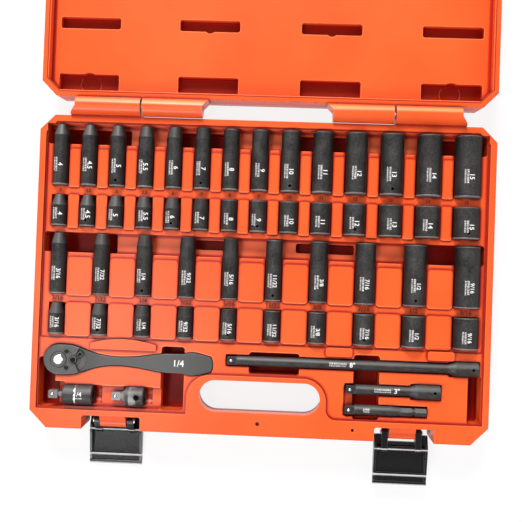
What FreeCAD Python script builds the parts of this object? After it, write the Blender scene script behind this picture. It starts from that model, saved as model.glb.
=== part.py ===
import FreeCAD, Part
import math
import os

os.makedirs("parts", exist_ok=True)

# A quarter-inch-drive socket set in a moulded case that lies open flat. Millimetres.
# X runs to the right, Y from the front edge to the hinge, Z up from the underside of the base.

V = FreeCAD.Vector
X_AXIS = V(1, 0, 0)
Y_AXIS = V(0, 1, 0)
Z_AXIS = V(0, 0, 1)
INCH = 25.4

# Case: both halves have the same plan and depth
PARTING = 30.0
SEAM_GAP = 0.3
HALF_X = 186.0
HALF_Y = 128.0
CORNER_FRONT = 14.0
CORNER_REAR = 12.0
WALL_DRAFT = 1.6
BOTTOM_ROUND = 3.0
RIM = 5.0
FRONT_BAR = 15.5
LAND_DROP = 2.0
STRIP_DROP = 3.2
WELL_FLOOR = 6.0
TROUGH_FLOOR = 17.0
LID_PANEL_DROP = 9.5
LID_RECESS_DROP = 8.0

# Handle opening and the raised ground around it
HANDLE_X = 1.5
HANDLE_Y = -96.7
HANDLE_LENGTH = 97.5
HANDLE_WIDTH = 25.2
HANDLE_FLARE = 3.0
ISLAND_LEFT = -58.0
ISLAND_RIGHT = 55.5
ISLAND_REAR = -80.0
ISLAND_ROUND = 19.0
ISLAND_FOOT = 8.0

# Hinge: knuckles of base and lid side by side on two pins
HINGE_OFFSET = 8.0
KNUCKLE_R = 7.5
BASE_KNUCKLE = (103.5, 156.5)
LID_KNUCKLE = (53.0, 102.0)
KNUCKLE_SLANT = 4.5
HINGE_PIN_R = 2.0
HINGE_PIN_SPAN = (58.0, 151.0)

# Latches: a link on the base's lug and a lever on the link
LATCH_X = 119.0
NOTCH_WIDTH = 48.0
NOTCH_DEPTH = 11.0
LUG_WIDTH = 21.5
LUG_R = 5.0
LUG_Z = 16.0
CATCH_R = 3.0
CATCH_Z = 13.6
LATCH_PIN_R = 2.0
LINK_LENGTH = 13.5
LINK_EYE_R = 3.2
LINK_ARM = 5.0
LEVER_WIDTH = 44.0
LEVER_REACH = 30.3
LEVER_EAR = 11.0
LEVER_BACK = 5.5
LEVER_SHEET = 2.0
LEVER_BAR_R = 2.2
HOOK_START = 20.4
HOOK_DEPTH = 2.6
LINK_DROOP = {"left": 49.1, "right": 2.0}

# Sockets: nose toward the hinge, drive end toward the front
METRIC = (4, 4.5, 5, 5.5, 6, 7, 8, 9, 10, 11, 12, 13, 14, 15)
IMPERIAL = ((3, 16), (7, 32), (1, 4), (9, 32), (5, 16), (11, 32), (3, 8), (7, 16), (1, 2), (9, 16))
SOCKET_MIN_D = 13.0
SOCKET_WALL = 2.2
SOCKET_GROWTH = 1.3
FIRST_METRIC_X = -168.5
FIRST_IMPERIAL_X = -167.3
METRIC_WEB = 10.3
IMPERIAL_WEB = 22.3
DEEP = 49.4
SHALLOW = 25.4
DEEP_METRIC_Y = 95.5
SHALLOW_METRIC_Y = 50.0
DEEP_IMPERIAL_Y = 6.5
SHALLOW_IMPERIAL_Y = -38.6
TOOL_Z = 27.0
NOSE_TAPER = 8.5
SQUARE = 0.25 * INCH
SQUARE_PLAY = 0.15
SQUARE_DEPTH = 9.0
PIN_HOLE_R = 1.3
SEAT_PLAY = 0.4

# Ratchet
RATCHET_X = -163.5
RATCHET_Y = -72.2
RATCHET_Z = 24.0
HEAD_R = 12.2
HEAD_HALF = 6.25
RATCHET_REACH = 125.0
GEAR_R = 7.4
GEAR_TEETH = 36
TOOTH = 0.7
HUB_R = 6.3
BUTTON_R = 4.0
COVER_SHEET = 2.0
LEVER_PIVOT = 11.9
LEVER_REST = 40.0
LEVER_LENGTH = 9.5

# Bars and adapters, lying along X with the square end to the left
BAR_R = 4.0
COLLAR_R = 6.0
TANG = 8.0
BALL_R = 1.5
BALL_PROUD = 0.7
BALL_TRAVEL = 0.9
LONG_BAR = (-26.0, 8 * INCH, -67.6)
SHORT_BAR = (71.0, 3 * INCH, -87.2)
HEX_BAR = (70.4, 66.0, -103.6)
SWIVEL_X = -171.2
SWIVEL_Y = -100.6
SWIVEL_R = 8.2
ADAPTER_X = -119.4
ADAPTER_Y = -100.3
ADAPTER_R = 7.9

HINGE_Y = HALF_Y + HINGE_OFFSET
RIM_Z = PARTING - SEAM_GAP / 2
LAND_Z = PARTING - LAND_DROP
STRIP_Z = PARTING - STRIP_DROP
ABOVE = PARTING + 20


def save(name, shape):
    shape.exportStep("parts/" + name + ".step")


def face_of(points):
    return Part.Face(Part.makePolygon(points + points[:1]))


def wire_of(curves):
    return Part.Wire([c.toShape() for c in curves])


def fused(shapes):
    return shapes[0].fuse(shapes[1:]).removeSplitter()


def rounded_wire(x0, x1, y0, y1, z, r):
    """A rectangle with round corners, lying flat."""
    corners = ((x1 - r, y0 + r, -90), (x1 - r, y1 - r, 0), (x0 + r, y1 - r, 90), (x0 + r, y0 + r, 180))
    edges = []
    last = None
    for x, y, start in corners + corners[:1]:
        on_arc = [math.radians(start + turn) for turn in (0, 45, 90)]
        begin, middle, end = [V(x + r * math.cos(a), y + r * math.sin(a), z) for a in on_arc]
        if last is not None and last.distanceToPoint(begin) > 1e-6:
            edges.append(Part.LineSegment(last, begin))
        if len([e for e in edges if isinstance(e, Part.Arc)]) < 4:
            edges.append(Part.Arc(begin, middle, end))
        last = end
    return wire_of(edges)


def slab(x0, x1, y0, y1, z0, z1, r):
    """A block with its upright corners rounded."""
    return Part.Face(rounded_wire(x0, x1, y0, y1, z0, r)).extrude(V(0, 0, z1 - z0))


def channel(start, along, radius):
    """A round-bottomed slot, open upward, with its axis from start along a vector."""
    side = along.cross(Z_AXIS)
    side.normalize()
    side = side * radius
    top = V(0, 0, ABOVE - start.z)
    curves = [
        Part.LineSegment(start - side + top, start - side),
        Part.Arc(start - side, start - Z_AXIS * radius, start + side),
        Part.LineSegment(start + side, start + side + top),
        Part.LineSegment(start + side + top, start - side + top),
    ]
    return Part.Face(wire_of(curves)).extrude(along)


def lathe(start, axis, profile):
    """Turn a profile of (distance along, radius) pairs about an axis through start."""
    side = axis.cross(V(axis.z, axis.x, axis.y))
    ends = [(profile[0][0], 0)] + [p for p in profile if p[1] > 0] + [(profile[-1][0], 0)]
    points = [start + axis * t + side * r for t, r in ends]
    return face_of(points).revolve(start, axis, 360)


def square_bar(start, axis, width, length):
    """A square bar from start along +X or -Y or Z, centred on its axis."""
    h = width / 2
    side = axis.cross(V(axis.z, axis.x, axis.y))
    other = axis.cross(side)
    signs = ((1, 1), (-1, 1), (-1, -1), (1, -1))
    points = [start + side * (a * h) + other * (b * h) for a, b in signs]
    return face_of(points).extrude(axis * length)


def hex_bar(start, axis, flats, length):
    """A hexagonal bar with a corner on its side direction."""
    r = flats / math.sqrt(3)
    side = axis.cross(V(axis.z, axis.x, axis.y))
    other = axis.cross(side)
    angles = [math.radians(60 * k) for k in range(6)]
    points = [start + side * (r * math.cos(a)) + other * (r * math.sin(a)) for a in angles]
    return face_of(points).extrude(axis * length)


def case_outline(inset, z):
    """Plan of a case half with its cut corners, drawn in by inset."""
    hx = HALF_X - inset
    hy = HALF_Y - inset
    front = CORNER_FRONT - inset * (2 - math.sqrt(2))
    rear = CORNER_REAR - inset * (2 - math.sqrt(2))
    plan = ((front - hx, -hy), (hx - front, -hy), (hx, front - hy), (hx, hy - rear),
            (hx - rear, hy), (rear - hx, hy), (-hx, hy - rear), (-hx, front - hy))
    return [V(x, y, z) for x, y in plan]


def lug_profile(x, r, z):
    """Side view of a latch lug: a round front that widens to the wall behind."""
    y = LUG_R - HALF_Y
    wall = NOTCH_DEPTH - HALF_Y + 1
    curves = [
        Part.Arc(V(x, y, z + r), V(x, y - r, z), V(x, y, z - r)),
        Part.LineSegment(V(x, y, z - r), V(x, wall, z - 2 * r)),
        Part.LineSegment(V(x, wall, z - 2 * r), V(x, wall, z + 2 * r)),
        Part.LineSegment(V(x, wall, z + 2 * r), V(x, y, z + r)),
    ]
    return Part.Face(wire_of(curves))


def knuckles(span, slanted_end):
    """Hinge barrels left and right, each with a ramp down the rear wall and one slanted end."""
    inside = HALF_Y - 3
    low = math.radians(-50)
    over = math.radians(65)
    barrel = [V(0, HINGE_Y + KNUCKLE_R * math.cos(a), PARTING + KNUCKLE_R * math.sin(a))
              for a in (math.pi, over, low)]
    root_top = V(0, inside, PARTING - SEAM_GAP / 2)
    root_low = V(0, inside, PARTING - 2 * KNUCKLE_R)
    wall_top = V(0, HINGE_Y - KNUCKLE_R, PARTING - SEAM_GAP / 2)
    curves = [
        Part.LineSegment(root_low, root_top),
        Part.LineSegment(root_top, wall_top),
        Part.LineSegment(wall_top, barrel[0]),
        Part.Arc(*barrel),
        Part.LineSegment(barrel[2], root_low),
    ]
    side_view = Part.Face(wire_of(curves))
    near, far = span
    wide = {"outer": (near, far + KNUCKLE_SLANT), "inner": (near - KNUCKLE_SLANT, far)}[slanted_end]
    back = HINGE_Y + KNUCKLE_R + 1
    both = []
    for sign in (-1, 1):
        plan = [V(sign * wide[0], inside - 1, 0), V(sign * wide[1], inside - 1, 0),
                V(sign * wide[1], HALF_Y + 1, 0), V(sign * far, HINGE_Y - 1, 0),
                V(sign * far, back, 0), V(sign * near, back, 0),
                V(sign * near, HINGE_Y - 1, 0), V(sign * wide[0], HALF_Y + 1, 0)]
        distinct = [p for k, p in enumerate(plan) if k == 0 or p.distanceToPoint(plan[k - 1]) > 1e-6]
        column = face_of(distinct).extrude(V(0, 0, ABOVE))
        bar = side_view.extrude(V(sign * (wide[1] + 1), 0, 0))
        both.append(bar.common(column))
    return both


def half_case(lug_r, lug_z):
    """What base and lid share: drafted walls, notches with lugs and the flared handle opening."""
    low = Part.makePolygon(case_outline(WALL_DRAFT, 0) + case_outline(WALL_DRAFT, 0)[:1])
    high = Part.makePolygon(case_outline(0, RIM_Z) + case_outline(0, RIM_Z)[:1])
    body = Part.makeLoft([low, high], True, True)
    under = [e for e in body.Edges if e.BoundBox.ZMax < 0.01]
    body = body.makeFillet(BOTTOM_ROUND, under)
    cuts = []
    lugs = []
    for sign in (-1, 1):
        x = sign * LATCH_X
        cuts.append(slab(x - NOTCH_WIDTH / 2, x + NOTCH_WIDTH / 2, -HALF_Y - 10, NOTCH_DEPTH - HALF_Y,
                         -1, ABOVE, 2))
        lugs.append(lug_profile(x - LUG_WIDTH / 2, lug_r, lug_z).extrude(V(LUG_WIDTH, 0, 0)))
    grips = []
    for z, grow in ((-1, HANDLE_FLARE), (PARTING + 1, 0)):
        half_length = HANDLE_LENGTH / 2 + grow
        half_width = HANDLE_WIDTH / 2 + grow
        grips.append(rounded_wire(HANDLE_X - half_length, HANDLE_X + half_length, HANDLE_Y - half_width,
                                  HANDLE_Y + half_width, z, half_width - 0.01))
    cuts.append(Part.makeLoft(grips, True, True))
    return fused([body.cut(cuts)] + lugs)


def sunken_field(floor):
    """Everything inside the rim, down to a floor, except the raised ground around the handle."""
    field = face_of(case_outline(RIM, floor)).extrude(V(0, 0, ABOVE - floor))
    front = -HALF_Y + FRONT_BAR
    keep = slab(-HALF_X, HALF_X, front, HALF_Y, floor - 1, ABOVE + 1, 4)
    island = slab(ISLAND_LEFT, ISLAND_RIGHT, -HALF_Y - 20, ISLAND_REAR, floor - 1, ABOVE + 1, ISLAND_ROUND)
    foot = Part.makeBox(ISLAND_FOOT, ISLAND_FOOT, ABOVE, V(ISLAND_RIGHT, front, 0))
    hollow = V(ISLAND_RIGHT + ISLAND_FOOT, front + ISLAND_FOOT, 0)
    foot = foot.cut(Part.makeCylinder(ISLAND_FOOT, ABOVE, hollow, Z_AXIS))
    return field.common(keep).cut([island, foot])


def socket_d(size):
    return max(SOCKET_MIN_D, nose_d(size))


def nose_d(size):
    return SOCKET_GROWTH * size + SOCKET_WALL


def socket_places(sizes, first, web):
    """Centre of each socket in a row: equal webs between neighbours of growing diameter."""
    places = [first]
    for one, two in zip(sizes, sizes[1:]):
        places.append(places[-1] + (socket_d(one) + socket_d(two)) / 2 + web)
    return places


def socket(x, y, size, length, hole_angle):
    """An impact socket lying on its side, hexagon toward +Y, square toward -Y."""
    start = V(x, y - length / 2, TOOL_Z)
    r = socket_d(size) / 2
    nose = nose_d(size) / 2
    taper = NOSE_TAPER if nose < r - 0.2 else 0.8
    tip = min(nose, r - 0.6)
    body = lathe(start, Y_AXIS, [(0, r - 0.8), (0.8, r), (length - taper, r), (length, tip)])
    hex_depth = length * (0.5 if length > SHALLOW else 0.42)
    hexagon = hex_bar(start + Y_AXIS * (length - hex_depth), Y_AXIS, size + 0.1, hex_depth + 1)
    mouth_r = size / math.sqrt(3) + 0.3
    mouth = Part.makeCone(size * 0.45, mouth_r, 1.2, start + Y_AXIS * (length - 1.2), Y_AXIS)
    square = square_bar(start - Y_AXIS, Y_AXIS, SQUARE + SQUARE_PLAY, SQUARE_DEPTH + 1)
    bore = Part.makeCylinder(min(size * 0.42, SQUARE * 0.45), length, start, Y_AXIS)
    out = V(math.sin(math.radians(hole_angle)), 0, math.cos(math.radians(hole_angle)))
    pin_hole = Part.makeCylinder(PIN_HOLE_R, r + 1, start + Y_AXIS * (SQUARE_DEPTH / 2), out)
    return body.cut([hexagon, mouth, square, bore, pin_hole])


def socket_seat(x, y, size, length):
    """The pocket under one socket."""
    play = SEAT_PLAY
    start = V(x, y - length / 2 - play, TOOL_Z)
    return channel(start, Y_AXIS * (length + 2 * play), socket_d(size) / 2 + play)


def ratchet_plan(grow):
    """Plan of the ratchet: round head, waisted neck and swelling grip."""
    half_widths = ((0, HEAD_R), (12, 11.5), (21, 8.6), (34, 4.8), (53, 3.4), (73, 5.6), (88, 7.6),
                   (102, 7.9), (RATCHET_REACH - 1, 6.2))
    z = RATCHET_Z
    upper = [V(RATCHET_X + t + (grow if t > 100 else 0), RATCHET_Y + w + grow, z) for t, w in half_widths]
    lower = [V(p.x, 2 * RATCHET_Y - p.y, z) for p in upper]
    top = Part.BSplineCurve()
    top.interpolate(Points=upper, InitialTangent=X_AXIS * 30, FinalTangent=V(30, -8, 0))
    bottom = Part.BSplineCurve()
    bottom.interpolate(Points=lower, InitialTangent=X_AXIS * 30, FinalTangent=V(30, 8, 0))
    butt = Part.Arc(upper[-1], V(RATCHET_X + RATCHET_REACH + 1 + grow, RATCHET_Y, z), lower[-1])
    head = Part.Arc(upper[0], V(RATCHET_X - HEAD_R - grow, RATCHET_Y, z), lower[0])
    return Part.Face(wire_of([top, butt, bottom, head]))


def ratchet_side():
    """Side view of the ratchet: thick head, thin neck, fuller grip."""
    half_heights = ((-HEAD_R - 2, HEAD_HALF), (17, HEAD_HALF), (36, 3.9), (55, 3.6), (76, 4.5), (100, 4.7),
                    (RATCHET_REACH + 3, 3.6))
    y = RATCHET_Y - 30
    upper = [V(RATCHET_X + t, y, RATCHET_Z + h) for t, h in half_heights]
    lower = [V(p.x, y, 2 * RATCHET_Z - p.z) for p in upper]
    top = Part.BSplineCurve()
    top.interpolate(upper[1:])
    bottom = Part.BSplineCurve()
    bottom.interpolate(lower[1:])
    curves = [Part.LineSegment(upper[0], upper[1]), top, Part.LineSegment(upper[-1], lower[-1]), bottom,
              Part.LineSegment(lower[1], lower[0]), Part.LineSegment(lower[0], upper[0])]
    return Part.Face(wire_of(curves))


def at_head(t, s, z):
    """A point given along and across the ratchet from the centre of its head."""
    return V(RATCHET_X + t, RATCHET_Y + s, z)


def gear_plan(r, teeth, depth, z):
    """A toothed wheel with straight flanks."""
    points = []
    for k in range(teeth):
        for radius, share in ((r - depth, 0.0), (r, 0.35), (r, 0.65)):
            a = 2 * math.pi * (k + share) / teeth
            points.append(at_head(radius * math.cos(a), radius * math.sin(a), z))
    return face_of(points)


def ball_at(point):
    return Part.makeSphere(BALL_R, point)


def ball_seat(point):
    """Blind hole that a detent ball sinks into from above."""
    bottom = point - Z_AXIS * (BALL_R + BALL_TRAVEL)
    return Part.makeCylinder(BALL_R + 0.1, 4 * BALL_R, bottom, Z_AXIS)


def tang(start):
    """Square drive end with a chamfered tip, running along +X, and the place of its ball."""
    bar = square_bar(start, X_AXIS, SQUARE, TANG)
    tip = [e for e in bar.Edges if e.BoundBox.XMax < start.x + 0.01]
    bar = bar.makeChamfer(0.8, tip)
    ball = start + V(TANG * 0.42, 0, SQUARE / 2 + BALL_PROUD - BALL_R)
    return bar, ball


# Case base

imperial_sizes = [INCH * top / bottom for top, bottom in IMPERIAL]
metric_x = socket_places(METRIC, FIRST_METRIC_X, METRIC_WEB)
imperial_x = socket_places(imperial_sizes, FIRST_IMPERIAL_X, IMPERIAL_WEB)
ROWS = (
    (METRIC, metric_x, DEEP_METRIC_Y, DEEP),
    (METRIC, metric_x, SHALLOW_METRIC_Y, SHALLOW),
    (imperial_sizes, imperial_x, DEEP_IMPERIAL_Y, DEEP),
    (imperial_sizes, imperial_x, SHALLOW_IMPERIAL_Y, SHALLOW),
)
FIELD_X = HALF_X - RIM - 1
FIELD_FRONT = FRONT_BAR - HALF_Y
TROUGH_REACH = 16.5

base_cuts = [sunken_field(LAND_Z)]

# Round-cornered pads stand between the sockets, a little above the ground of the rows
PAD_FRONT = 1.6
PAD_REAR = 0.8
LEDGE = 2.6
pads = []
for sizes, places, y, length in ROWS:
    pad_round = 1.5 if sizes is METRIC else 3.0
    rear = y + length / 2 + PAD_REAR
    if length == DEEP:
        rear = y + length / 2 - TROUGH_REACH - LEDGE
    for one, two, left, right in zip(sizes, sizes[1:], places, places[1:]):
        x0 = left + socket_d(one) / 2 + SEAT_PLAY + 0.3
        x1 = right - socket_d(two) / 2 - SEAT_PLAY - 0.3
        pads.append(slab(x0, x1, y - length / 2 - PAD_FRONT, rear, STRIP_Z - 1, ABOVE + 1, pad_round))
rows_front = SHALLOW_IMPERIAL_Y - SHALLOW / 2 - 2 * PAD_FRONT
rows_rear = DEEP_METRIC_Y + DEEP / 2 + 1
base_cuts.append(slab(-FIELD_X, FIELD_X, rows_front, rows_rear, STRIP_Z, ABOVE, 1).cut(pads))

# Troughs free the noses of the deep sockets, with deep wells and slots for the fingers
SLOT_WIDTH = 8.0
RIGHT_END = FIELD_X - 1
metric_wells = ((-FIELD_X, -113, 0), (-75, -28, 0), (22, 76, 0), (138, RIGHT_END, 0))
imperial_wells = ((-FIELD_X, -121.5, 0), (-69, -31, SLOT_WIDTH), (27, 75, SLOT_WIDTH), (134.5, RIGHT_END, 0))
for centre, deep_wells in ((DEEP_METRIC_Y, metric_wells), (DEEP_IMPERIAL_Y, imperial_wells)):
    rear = centre + DEEP / 2 + 1
    front = rear - TROUGH_REACH
    base_cuts.append(slab(-FIELD_X, RIGHT_END, front, rear, TROUGH_FLOOR, ABOVE, 2))
    for x0, x1, width in deep_wells:
        back = rear - (LEDGE if centre == DEEP_METRIC_Y else 0)
        if width:
            back = rear - LEDGE
        base_cuts.append(slab(x0, x1, back - width if width else front, back, WELL_FLOOR, ABOVE, 2))

for sizes, places, y, length in ROWS:
    for size, x in zip(sizes, places):
        base_cuts.append(socket_seat(x, y, size, length))

# Wells where fingers reach the tools
SHALLOW_WELL = 22.5
wells = (
    (-FIELD_X, -166, FIELD_FRONT + 1, -70.5, WELL_FLOOR),
    (-79.5, -60.5, -110, -58.5, WELL_FLOOR),
    (-8, 33, -78, -60.3, WELL_FLOOR),
    (77, 98, FIELD_FRONT + 1, -59.3, WELL_FLOOR),
    (169, FIELD_X, FIELD_FRONT + 1, -73, WELL_FLOOR),
    (-167, -79, -110, -92.5, SHALLOW_WELL),
    (69.5, 78, -109, -83, SHALLOW_WELL),
)
for x0, x1, y0, y1, floor in wells:
    base_cuts.append(slab(x0, x1, y0, y1, floor, ABOVE, 2.5))

# Seats of the bars, the adapter and the swivel joint
SEAT_R = SQUARE / math.sqrt(2) + SEAT_PLAY
COLLAR = 19.0
for x, length, y in (LONG_BAR, SHORT_BAR, HEX_BAR):
    start = V(x - 1, y, TOOL_Z)
    base_cuts.append(channel(start, X_AXIS * (length + 2), SEAT_R))
for x, length, y in (LONG_BAR, SHORT_BAR):
    start = V(x + length - COLLAR - 5, y, TOOL_Z)
    base_cuts.append(channel(start, X_AXIS * (COLLAR + 6), COLLAR_R + SEAT_PLAY))
BELL_X = SWIVEL_X + 12.5
BELL_LENGTH = 24.5
base_cuts.append(channel(V(BELL_X - 1, SWIVEL_Y, TOOL_Z), X_AXIS * (BELL_LENGTH + 7), SWIVEL_R + SEAT_PLAY))
base_cuts.append(slab(-FIELD_X + 10, BELL_X + 1, SWIVEL_Y - 10.5, SWIVEL_Y + 10.5, TOOL_Z - 13, ABOVE, 2))
ADAPTER_NECK = 10.0
ADAPTER_BODY = 17.0
base_cuts.append(channel(V(ADAPTER_X - 1, ADAPTER_Y, TOOL_Z), X_AXIS * (ADAPTER_NECK + 2), SEAT_R))
base_cuts.append(channel(V(ADAPTER_X + ADAPTER_NECK - 1, ADAPTER_Y, TOOL_Z),
                         X_AXIS * (ADAPTER_BODY + 7), ADAPTER_R + SEAT_PLAY))

# Seat of the ratchet: deeper under the head, with room for its turning square
GRIP_FLOOR = RATCHET_Z - 4.7 - SEAT_PLAY
HEAD_FLOOR = RATCHET_Z - HEAD_HALF - SEAT_PLAY
ratchet_seat = ratchet_plan(0.7)
ratchet_seat.translate(V(0, 0, GRIP_FLOOR - RATCHET_Z))
base_cuts.append(ratchet_seat.extrude(V(0, 0, ABOVE - GRIP_FLOOR)))
head_seat = ratchet_plan(0.7)
head_seat.translate(V(0, 0, HEAD_FLOOR - RATCHET_Z))
head_zone = slab(RATCHET_X - 20, RATCHET_X + 38, RATCHET_Y - 20, RATCHET_Y + 20, 0, ABOVE, 1)
base_cuts.append(head_seat.extrude(V(0, 0, ABOVE - HEAD_FLOOR)).common(head_zone))
base_cuts.append(Part.makeCylinder(HUB_R + 1, ABOVE, at_head(0, 0, WELL_FLOOR), Z_AXIS))

# A locating dimple and a blowing hole in the front bar
base_cuts.append(Part.makeCylinder(1.65, 5, V(0.7, -118.2, RIM_Z - 2.5), Z_AXIS))
base_cuts.append(Part.makeCylinder(1.2, 8, V(77.5, -120, RIM_Z - 5), Z_AXIS))

base = half_case(LUG_R, LUG_Z).cut(base_cuts)

# Raised pads beside the long bar and a lens-shaped one beside the ratchet's neck
bar_pads = [slab(x, x + 21.5, -61.3, -54, LAND_Z - 2, RIM_Z, 2) for x in (54, 136)]
LENS_R = 90.0
lens = Part.makeCylinder(LENS_R, RIM_Z - LAND_Z + 2, V(-111, -62.3 - LENS_R + 8.5, LAND_Z - 2), Z_AXIS)
lens = lens.common(slab(-138, -84, -62.6, -51, 0, ABOVE, 1))
base = fused([base] + bar_pads + [lens] + knuckles(BASE_KNUCKLE, "outer"))
bores = [Part.makeCylinder(HINGE_PIN_R + 0.02, 2 * HALF_X, V(-HALF_X, HINGE_Y, PARTING), X_AXIS)]
LUG_Y = LUG_R - HALF_Y
for sign in (-1, 1):
    pin_start = V(sign * LATCH_X - LUG_WIDTH, LUG_Y, LUG_Z)
    bores.append(Part.makeCylinder(LATCH_PIN_R + 0.02, 2 * LUG_WIDTH, pin_start, X_AXIS))
save("case_base", base.cut(bores))


# Case lid, made like the base and turned over about the hinge line

LID_FLOOR = PARTING - LID_PANEL_DROP
lid_cuts = [sunken_field(LID_FLOOR)]
RECESS_LENGTH = 50.0
for x in (-150, -50.5, 50.5, 150):
    for row in range(5):
        height = 14.0 if row == 0 else 9.5
        y = HINGE_Y - 21.6 - 49.7 * row
        if y - height > ISLAND_REAR or abs(x) > ISLAND_RIGHT + RECESS_LENGTH / 2:
            lid_cuts.append(slab(x - RECESS_LENGTH / 2, x + RECESS_LENGTH / 2, y - height / 2, y + height / 2,
                                 LID_FLOOR - LID_RECESS_DROP, ABOVE, 2))
            if row == 0 and abs(x) > 100:
                bulge = V(x, y, LID_FLOOR - LID_RECESS_DROP - 1)
                lid_cuts.append(Part.makeCylinder(height / 2 + 1.2, ABOVE, bulge, Z_AXIS))
            if row == 1 and abs(x) < 100:
                bulge = V(x, y + height / 2 - 3, LID_FLOOR - LID_RECESS_DROP)
                lid_cuts.append(Part.makeCylinder(4.5, ABOVE, bulge, Z_AXIS))
lid = fused([half_case(CATCH_R, CATCH_Z).cut(lid_cuts)] + knuckles(LID_KNUCKLE, "inner"))
lid = lid.cut(Part.makeCylinder(HINGE_PIN_R + 0.1, 2 * HALF_X, V(-HALF_X, HINGE_Y, PARTING), X_AXIS))
save("case_lid", lid.mirror(V(0, HINGE_Y, 0), Y_AXIS))


# Hinge pins and latch pins

near, far = HINGE_PIN_SPAN
hinge_pins = [Part.makeCylinder(HINGE_PIN_R, far - near, V(x, HINGE_Y, PARTING), X_AXIS) for x in (near, -far)]
save("hinge_pins", Part.makeCompound(hinge_pins))

PIN_LENGTH = LUG_WIDTH + 2 * LINK_ARM + 3
latch_pins = []
for sign in (-1, 1):
    start = V(sign * LATCH_X - PIN_LENGTH / 2, LUG_Y, LUG_Z)
    latch_pins.append(Part.makeCylinder(LATCH_PIN_R, PIN_LENGTH, start, X_AXIS))
save("latch_pins", Part.makeCompound(latch_pins))


# Latches, drawn level and pointing to the front, with the pivot at the origin


def link_arm(x):
    """One flat arm with round ends, in the plane across X."""
    r = LINK_EYE_R
    far = -LINK_LENGTH
    curves = [
        Part.LineSegment(V(x, 0, r), V(x, far, r)),
        Part.Arc(V(x, far, r), V(x, far - r, 0), V(x, far, -r)),
        Part.LineSegment(V(x, far, -r), V(x, 0, -r)),
        Part.Arc(V(x, 0, -r), V(x, r, 0), V(x, 0, r)),
    ]
    return Part.Face(wire_of(curves)).extrude(X_AXIS * LINK_ARM)


def link_shape():
    """Two arms with an eye at each end, and a tie bar between them."""
    inner = LUG_WIDTH / 2 + 0.5
    tie_front = -LUG_R - 4.6
    tie = slab(-inner - 1, inner + 1, tie_front, tie_front + 2.4, -1.2, 1.2, 0.5)
    whole = fused([link_arm(-inner - LINK_ARM), link_arm(inner), tie])
    reach = inner + LINK_ARM + 1
    eyes = ((0, LATCH_PIN_R + 0.1), (-LINK_LENGTH, LEVER_BAR_R + 0.1))
    return whole.cut([Part.makeCylinder(r, 2 * reach, V(-reach, y, 0), X_AXIS) for y, r in eyes])


def lever_shape():
    """A shallow tray with side flanges, pivot bar, hook and a rolled lip; its inside faces up."""
    half = LEVER_WIDTH / 2
    flange = 2.0
    back = -LEVER_BACK
    sheet = slab(-half, half, -LEVER_REACH, LEVER_EAR, back, back + LEVER_SHEET, 1)
    window = slab(-LUG_WIDTH / 2 - 1.5, LUG_WIDTH / 2 + 1.5, 3.5, LEVER_EAR + 5, back - 1, 0, 1)
    shapes = [sheet.cut(window)]
    flange_view = ((LEVER_EAR, back), (LEVER_EAR, back + 4), (3, LEVER_BAR_R), (-3, LEVER_BAR_R),
                   (-HOOK_START, -0.5), (-LEVER_REACH + 3, -2.5), (-LEVER_REACH + 1, back))
    for x in (-half, half - flange):
        shapes.append(face_of([V(x, y, z) for y, z in flange_view]).extrude(V(flange, 0, 0)))
    shapes.append(Part.makeCylinder(LEVER_BAR_R, LEVER_WIDTH - 1, V(0.5 - half, 0, 0), X_AXIS))
    hook_back = -HOOK_START - HOOK_DEPTH
    hook_view = ((-HOOK_START, back + 1), (-HOOK_START, 0.4), (-HOOK_START - 1.2, 0.4),
                 (hook_back - 1.5, back + 1))
    shapes.append(face_of([V(0.5 - half, y, z) for y, z in hook_view]).extrude(V(LEVER_WIDTH - 1, 0, 0)))
    lip_r = LEVER_SHEET
    lip = Part.makeCylinder(lip_r, LEVER_WIDTH, V(-half, lip_r - LEVER_REACH, back + lip_r), X_AXIS)
    return fused(shapes + [lip])


for side, sign in (("left", -1), ("right", 1)):
    droop = LINK_DROOP[side]
    pivot = V(sign * LATCH_X, LUG_Y, LUG_Z)
    link = link_shape()
    link.rotate(V(0, 0, 0), X_AXIS, droop)
    link.translate(pivot)
    save("latch_link_" + side, link)
    turn = math.radians(droop)
    lever = lever_shape()
    lever.translate(pivot + V(0, -LINK_LENGTH * math.cos(turn), -LINK_LENGTH * math.sin(turn)))
    save("latch_lever_" + side, lever)


# Sockets: one node per size holds its deep and its shallow socket


def hole_angle(index):
    """Sockets lie as they were put away: every third shows its pin hole on top, the others turn it aside."""
    return (0, 110, 235)[index % 3]


def save_sockets(name, index, size, x, deep_y, shallow_y):
    pair = [socket(x, deep_y, size, DEEP, hole_angle(index + 1)),
            socket(x, shallow_y, size, SHALLOW, hole_angle(index + 2))]
    save("sockets_" + name, Part.makeCompound(pair))


for index, (size, x) in enumerate(zip(METRIC, metric_x)):
    save_sockets(str(size).replace(".", "_") + "mm", index, size, x, DEEP_METRIC_Y, SHALLOW_METRIC_Y)
for index, (fraction, size, x) in enumerate(zip(IMPERIAL, imperial_sizes, imperial_x)):
    save_sockets("%d_%din" % fraction, index, size, x, DEEP_IMPERIAL_Y, SHALLOW_IMPERIAL_Y)


# Ratchet: forged handle, toothed gear with the square, cover, lever, pawl and button

HEAD_TOP = RATCHET_Z + HEAD_HALF
HEAD_BOTTOM = RATCHET_Z - HEAD_HALF
CAVITY_FLOOR = HEAD_BOTTOM + 2
COVER_Z = HEAD_TOP - COVER_SHEET
COVER_R = HEAD_R - 1
CAVITY_R = GEAR_R + 0.4
PAWL_R = 4.0
SCREW_R = 9.2
FAN_DEPTH = 1.4
FAN_HALF_ANGLE = 63.0


def cover_plan(grow, z, height):
    """The cover's plan: a disc over the gear and a smaller one over the pawl."""
    disc = Part.makeCylinder(COVER_R + grow, height, at_head(0, 0, z), Z_AXIS)
    lobe = Part.makeCylinder(PAWL_R + 1.6 + grow, height, at_head(LEVER_PIVOT, 0, z), Z_AXIS)
    return fused([disc, lobe])


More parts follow.
